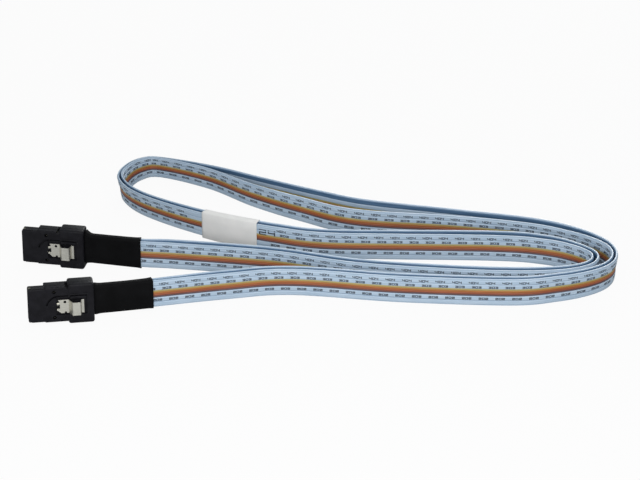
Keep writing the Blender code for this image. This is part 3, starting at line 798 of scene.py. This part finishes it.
def shell_steps():
    """The plug's other blocks joined and its hollows cut, shared by both halves."""
    past = 15 * MM
    card_low = CARD_Y - CARD_THICKNESS / 2 - FIT_GAP
    card_high = CARD_Y + CARD_THICKNESS / 2 + FIT_GAP
    middle = mirrored(NOSE_X, MIDDLE_X + 2 * MM, FRONT_Y, MIDDLE_BACK_Y, MIDDLE_HALF)
    nose = mirrored(TIP_X, NOSE_X + 1.5 * MM, FRONT_Y, NOSE_BACK_Y, NOSE_HALF)
    steps = [("UNION", rounded_box(*middle, MIDDLE_ROUNDING)), ("UNION", rounded_box(*nose, NOSE_ROUNDING))]

    # The rear hollow, the cable's way in, room round the conductors' ends, the card's room in the
    # middle block, its way out through the nose, and the nose's mouth
    hollows = [
        mirrored(MIDDLE_X + FIT_GAP, -2.2 * MM, -2.85 * MM, 2.85 * MM, HOLLOW_HALF),
        mirrored(-2.5 * MM, past, -2.65 * MM, 2.65 * MM, 8.3 * MM),
        mirrored(-17.9 * MM, -12.6 * MM, -2.5 * MM, -0.15 * MM, 7.2 * MM),
        mirrored(NOSE_X, -14.4 * MM, card_low, card_high, HOLLOW_HALF),
        mirrored(TIP_X - past, NOSE_X + FIT_GAP, card_low, card_high, REAR_HALF),
        mirrored(TIP_X - past, NOSE_X - NOSE_WALL, FRONT_Y + NOSE_WALL, NOSE_BACK_Y - NOSE_WALL,
                 NOSE_HALF - 1.0 * MM),
    ]
    steps += [("DIFFERENCE", box_mesh(*corners)) for corners in hollows]

    # A cut at each corner of the nose's tip, then a notch in each side of the middle block
    for side in (-1, 1):
        corner = [(-1.0, 1.0), (0.9, 1.0), (0.9, 0.0), (0.25, -0.25), (0.0, -0.9), (-1.0, -0.9)]
        corner = [(TIP_X + along * MM, side * (NOSE_HALF + up * MM)) for along, up in corner]
        steps.append(("DIFFERENCE", plate_shape(corner, -past, past)))
    for side, depth, front in ((1, 1.2 * MM, FRONT_Y - 2 * MM), (-1, 0.8 * MM, -2.8 * MM)):
        low, high = sorted((side * (MIDDLE_HALF - depth), side * (MIDDLE_HALF + 2 * MM)))
        steps.append(("DIFFERENCE", box_mesh((MIDDLE_X - 1.4 * MM, front, low),
                                             (MIDDLE_X, 1.4 * MM, high))))
    return steps


def groove(line, width):
    """A closed outline that runs along both sides of a line of points."""
    left, right = [], []
    for index, point in enumerate(line):
        ahead = Vector(line[min(index + 1, len(line) - 1)])
        behind = Vector(line[max(index - 1, 0)])
        run = (ahead - behind).normalized() * width / 2
        left.append((point[0] - run.y, point[1] + run.x))
        right.append((point[0] + run.y, point[1] - run.x))
    return left + right[::-1]


def housing_front(mark, matrix, materials):
    """The latch side: latch bed with a bar and a rib above it, a curved groove and pin holes."""
    past = 30 * MM
    low, high = LATCH_Z - POCKET_HALF, LATCH_Z + POCKET_HALF
    bed_left, bed_right = LATCH_TIP_X - FIT_GAP, LATCH_REAR_X + 1.5 * MM
    shelf = high + 1.3 * MM
    curve = [(bed_left + 0.8 * MM, shelf - 0.35 * MM), (-20.3 * MM, 4.35 * MM), (-21.7 * MM, 3.5 * MM),
             (-22.9 * MM, 2.4 * MM), (-23.8 * MM, 1.1 * MM), (-24.2 * MM, -0.2 * MM)]
    steps = shell_steps()
    steps += [
        ("DIFFERENCE", plate_shape(groove(curve, GROOVE_WIDTH), FRONT_Y - 5 * MM,
                                   FRONT_Y + GROOVE_DEPTH)),
        ("DIFFERENCE", box_mesh((bed_left, -past, shelf - 0.9 * MM),
                                (bed_left + 6.3 * MM, FRONT_Y + GROOVE_DEPTH, shelf))),
        ("DIFFERENCE", box_mesh((bed_left, -past, low), (bed_right, BED_Y, high))),
        ("DIFFERENCE", box_mesh((bed_left, -past, high - 0.1 * MM), (bed_right, FRONT_Y + 0.5 * MM,
                                                                   shelf))),
        ("UNION", box_mesh((-5.9 * MM, -3.8 * MM, low - 0.3 * MM),
                           (bed_right + 0.3 * MM, -3.0 * MM, high + 0.3 * MM))),
        ("UNION", rounded_box((-12.0 * MM, REAR_FRONT_Y - 0.3 * MM, high - 0.6 * MM),
                              (bed_right - 0.3 * MM, REAR_FRONT_Y + 1.6 * MM, high + 0.7 * MM),
                              0.15 * MM)),
        ("UNION", rounded_box((-12.6 * MM, REAR_FRONT_Y - 0.45 * MM, shelf + 0.35 * MM),
                              (-3.2 * MM, REAR_FRONT_Y + 0.5 * MM, shelf + 0.95 * MM), 0.2 * MM)),
        ("DIFFERENCE", post(*LATCH_HOLE, -past, HOLE_FLOOR_Y, 0.8 * MM)),
        ("DIFFERENCE", post(LATCH_NOTCH_X, LATCH_Z - 3.6 * MM, -past, HOLE_FLOOR_Y, 0.8 * MM)),
        *(("DIFFERENCE", post(PIN_X, z, -past, CARD_Y, PIN_HOLE_RADIUS)) for z in (-PIN_Z, PIN_Z)),
        ("INTERSECT", box_mesh((-2 * past, -past, -past), (past, CARD_Y - FIT_GAP / 2, past))),
    ]

    # Thin lips on the nose's sides, each a root on the shell and a cover over the card's edge
    for side in (-1, 1):
        for inner, back in ((-0.2 * MM, -0.6 * MM), (0.02 * MM, 0.62 * MM)):
            low, high = sorted((side * (NOSE_HALF + inner), side * (NOSE_HALF + LIP_HEIGHT)))
            steps.append(("UNION", box_mesh((TIP_X + 1.7 * MM, FRONT_Y + 0.5 * MM, low),
                                            (NOSE_X + 0.3 * MM, CARD_Y + back, high))))
    mesh = carve(rear_block(), steps)
    item = place_piece(f"latch_shell_{mark}", mesh, matrix, materials["nylon"],
                       replaces=f"housing_{mark}")
    return soften(item, EDGE_ROUNDING)


def housing_back(mark, matrix, materials):
    """The plain side, with its two joining pins, grooves for grip and a mould mark."""
    past = 30 * MM
    steps = shell_steps()
    for index in range(GRIP_COUNT):
        x = -3.2 * MM - index * GRIP_PITCH
        steps.append(("DIFFERENCE", box_mesh((x - 0.35 * MM, REAR_BACK_Y - 0.3 * MM, -6.5 * MM),
                                             (x + 0.35 * MM, past, 6.5 * MM))))
    steps += [
        ("DIFFERENCE", post(-19.2 * MM, 0.0, MIDDLE_BACK_Y - 0.2 * MM, past, 2.2 * MM)),
        ("INTERSECT", box_mesh((-2 * past, CARD_Y + FIT_GAP / 2, -past), (past, past, past))),
        *(("UNION", post(PIN_X, z, FRONT_Y + 2.1 * MM, 0.5 * MM, PIN_RADIUS)) for z in (-PIN_Z, PIN_Z)),
    ]
    mesh = carve(rear_block(), steps)
    item = place_piece(f"back_shell_{mark}", mesh, matrix, materials["cover"],
                       replaces=f"back_cover_{mark}")
    return soften(item, EDGE_ROUNDING)


def latch_profile():
    """The bent plate from its rear end to its tip: X, Y and half widths below and above."""
    flat = LATCH_Y
    tab = LATCH_Y - TAB_HEIGHT
    bends = [
        (0.0, flat, 4.05, 3.35), (1.1, flat, 4.05, 3.35), (1.38, flat - 0.12 * MM, 4.05, 3.35),
        (1.52, flat - 0.5 * MM, 4.05, 3.35), (1.85, tab + 0.8 * MM, 4.0, 3.4),
        (2.0, tab + 0.3 * MM, 3.95, 3.4), (2.25, tab, 3.85, 3.35), (4.0, tab - 0.06 * MM, 3.85, 3.35),
        (5.75, tab, 3.85, 3.35), (6.05, tab + 0.3 * MM, 3.95, 3.4), (6.35, tab + 0.9 * MM, 3.95, 3.4),
        (7.4, flat - 0.5 * MM, 3.8, 3.6), (7.65, flat - 0.12 * MM, 3.75, 3.7),
        (7.95, flat, 3.7, 3.7), (10.5, flat, 3.7, 3.7), (13.8, flat, 3.7, 3.7),
    ]
    return [(LATCH_REAR_X - out * MM, y, low * MM, high * MM) for out, y, low, high in bends]


def latch(mark, matrix, materials):
    """The pressed plate with its tapered, toothed tip, its two holes and its hooks."""
    shares = (0.0, 1 / 3, 2 / 3, 1.0)
    rows = [[Vector((x, y, LATCH_Z - low + (low + high) * share)) for share in shares]
            for x, y, low, high in latch_profile()]
    mesh = loft("plate", rows, [], closed=False)
    item = new_object("plate", mesh)
    solid = item.modifiers.new("Thickness", "SOLIDIFY")
    solid.thickness = LATCH_THICKNESS
    solid.offset = 0.0
    solid.use_even_offset = True
    bpy.context.view_layer.update()
    evaluated = item.evaluated_get(bpy.context.evaluated_depsgraph_get())
    plate = bmesh.new()
    plate.from_mesh(evaluated.data)
    bpy.data.objects.remove(item, do_unlink=True)
    tip = LATCH_TIP_X
    top = LATCH_Y
    steps = []

    # What is cut from each corner of the tip, along the latch and in from its side
    corners = {
        1: [(-1.0, -1.0), (0.7, -1.0), (0.7, 0.0), (1.35, 1.3), (0.2, 1.7), (-1.0, 1.7)],
        -1: [(-1.0, -1.0), (2.1, -1.0), (2.1, 0.0), (0.2, 1.75), (-1.0, 1.75)],
    }
    for side, corner in corners.items():
        outer = LATCH_Z + side * LATCH_TIP_HALF
        corner = [(tip + along * MM, outer - side * inward * MM) for along, inward in corner]
        steps.append(("DIFFERENCE", plate_shape(corner, top - 3 * MM, top + 3 * MM)))
        low, high = sorted((outer - side * 1.8 * MM, outer - side * 2.5 * MM))
        hook = [(tip, low), (tip, high), (tip + 0.9 * MM, high), (tip + 0.9 * MM, low)]
        steps.append(("UNION", plate_shape(hook, top - 0.7 * MM, top)))
    steps += [
        ("DIFFERENCE", post(*LATCH_HOLE, top - 2 * MM, top + 2 * MM, 0.72 * MM, 20)),
        ("DIFFERENCE", post(LATCH_NOTCH_X, LATCH_Z - 3.4 * MM, top - 2 * MM, top + 2 * MM, 0.6 * MM, 20)),
        ("DIFFERENCE", box_mesh((tip - 1 * MM, top - 3 * MM, LATCH_Z - 1.1 * MM),
                                (tip + 1.5 * MM, top + 3 * MM, LATCH_Z + 1.1 * MM))),
    ]
    mesh = carve(plate, steps)
    item = place_piece(f"spring_latch_{mark}", mesh, matrix, materials["steel"], body=f"latch_{mark}",
                       replaces=f"latch_{mark}")
    return soften(item, 0.05 * MM)


def contacts(mark, side, matrix, materials):
    """The row of gold pads on one face of the paddle card's tongue, each third one longer."""
    shape = bmesh.new()
    face = CARD_Y + side * CARD_THICKNESS / 2
    for index in range(CONTACT_COUNT):
        z = (index - (CONTACT_COUNT - 1) / 2) * CONTACT_PITCH
        low, high = sorted((face, face + side * CONTACT_HEIGHT))
        pad = bmesh.ops.create_cube(shape, size=1.0)["verts"]
        long = CONTACT_LENGTH if index % 3 else GROUND_CONTACT_LENGTH
        bmesh.ops.scale(shape, vec=(long, high - low, CONTACT_WIDTH), verts=pad)
        bmesh.ops.translate(shape, vec=(TIP_X + 0.6 * MM + long / 2, (low + high) / 2, z), verts=pad)
    mesh = new_mesh(f"contacts_{mark}", shape)
    face_name = "front" if side < 0 else "back"
    return place_piece(f"contacts_{face_name}_{mark}", mesh, matrix, materials["gold"])


def dress_node(name, kind):
    """Gives a carried-over node of the solids its material."""
    node = frame["nodes"][name]
    node.data.materials.clear()
    node.data.materials.append(kind)
    return node


def plug(mark, materials):
    matrix = plug_frame(mark)
    shells = [housing_front(mark, matrix, materials), housing_back(mark, matrix, materials)]
    latch(mark, matrix, materials)
    contacts(mark, -1, matrix, materials)
    contacts(mark, 1, matrix, materials)
    dress_node(f"paddle_card_{mark}", materials["board"])
    dress_node(f"leads_front_{mark}", materials["tin"])
    dress_node(f"leads_back_{mark}", materials["tin"])
    dress_node(f"grommet_{mark}", materials["rubber"])
    return shells


# Camera, floor and light

FLOOR_HALF = 6.0
FLOOR_DROP = 0.05 * MM
FLOOR_WHITE = 0.94
SKY_COLOUR = (0.90, 0.965, 1.0, 1.0)
SKY_STRENGTH = 0.36


def make_camera(shift):
    data = bpy.data.cameras.new("camera")
    data.sensor_width = SENSOR_WIDTH
    data.lens = FOCAL_PIXELS / IMAGE_WIDTH * SENSOR_WIDTH
    data.clip_start = 0.05
    data.clip_end = 20.0
    camera = new_object("camera", data)
    camera.location = Vector(CAMERA_PLACE) + Vector((shift.x, shift.y, 0.0))
    camera.rotation_euler = (math.pi / 2 - ELEVATION, 0.0, 0.0)
    bpy.context.scene.camera = camera


def camera_white(tree, plain, amount):
    """Mixes a white that only camera and transmission rays see over a plain shader."""
    paths = tree.nodes.new("ShaderNodeLightPath")
    seen = tree.nodes.new("ShaderNodeMath")
    seen.operation = "MAXIMUM"
    tree.links.new(paths.outputs["Is Camera Ray"], seen.inputs[0])
    tree.links.new(paths.outputs["Is Transmission Ray"], seen.inputs[1])
    share = tree.nodes.new("ShaderNodeMath")
    share.operation = "MULTIPLY"
    share.inputs[1].default_value = amount
    tree.links.new(seen.outputs["Value"], share.inputs[0])
    white = tree.nodes.new("ShaderNodeEmission")
    white.inputs["Strength"].default_value = 1.0
    mix = tree.nodes.new("ShaderNodeMixShader")
    tree.links.new(share.outputs["Value"], mix.inputs["Fac"])
    tree.links.new(plain, mix.inputs[1])
    tree.links.new(white.outputs["Emission"], mix.inputs[2])
    return mix.outputs["Shader"]


def make_floor():
    made, tree, shader = new_material("floor")
    shader.inputs["Base Color"].default_value = (0.6, 0.6, 0.6, 1.0)
    shader.inputs["Roughness"].default_value = 0.9
    shader.inputs["Specular IOR Level"].default_value = 0.1
    output = tree.nodes["Material Output"]
    surface = camera_white(tree, shader.outputs["BSDF"], FLOOR_WHITE)
    tree.links.new(surface, output.inputs["Surface"])
    shape = bmesh.new()
    bmesh.ops.create_grid(shape, x_segments=1, y_segments=1, size=FLOOR_HALF)
    mesh = new_mesh("floor", shape)
    mesh.materials.append(made)
    floor = new_object("floor", mesh)
    floor.location.z = -FLOOR_DROP


def area_light(name, place, target, wide, tall, power):
    data = bpy.data.lights.new(name, "AREA")
    data.shape = "RECTANGLE"
    data.size = wide
    data.size_y = tall
    data.energy = power
    lamp = new_object(name, data)
    lamp.location = place
    aim = Vector(target) - Vector(place)
    lamp.rotation_euler = aim.to_track_quat("-Z", "Y").to_euler()


def make_light():
    world = bpy.data.worlds.new("studio")
    bpy.context.scene.world = world
    world.use_nodes = True
    tree = world.node_tree
    plain = tree.nodes["Background"]
    plain.inputs["Color"].default_value = SKY_COLOUR
    plain.inputs["Strength"].default_value = SKY_STRENGTH
    surface = camera_white(tree, plain.outputs["Background"], 1.0)
    tree.links.new(surface, tree.nodes["World Output"].inputs["Surface"])
    area_light("key", (-0.02, -0.5, 0.28), (0, 0, 0), 0.8, 0.3, 2.35)
    area_light("top", (0.15, 0.2, 1.2), (0, 0, 0), 0.9, 0.9, 3.0)
    area_light("rear", (0.3, 1.2, 0.5), (0, 0.05, 0), 0.7, 0.7, 5.0)


# The whole cable

def route_shift():
    """From the route's own origin to the origin of the solids."""
    matrix = plug_frame("b")
    outward = matrix.to_3x3() @ Vector((1.0, 0.0, 0.0))
    end = Vector(ROUTE[0][:2]) * MM + outward.to_2d() * CABLE_INSET
    return matrix.translation.to_2d() - end


def main():
    materials = make_materials()
    shift = route_shift()
    make_camera(shift)
    path = Path(shift)

    layers = {}
    for number, side in ((1, -1), (2, 1)):
        layers[number] = (ribbon_layer(f"printed_ribbon_{number}", path, side, materials),
                          ribbon_print(f"ribbon_print_{number}", path, side, materials), side)
    covers = {mark: sleeve(mark, path, materials) for mark in "ab"}
    shells = {mark: plug(mark, materials) for mark in "ab"}
    label(path, materials)

    for layer, ink, side in layers.values():
        line = [layer_point(place, side, 0.0, RIBBON_WIDTH / 2) for place in path.places]
        ends = shells["a"] if side < 0 else [covers["a"]]
        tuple(line[0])
        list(ends)
    make_floor()
    make_light()
    bpy.context.scene.view_settings.view_transform = "Standard"


main()
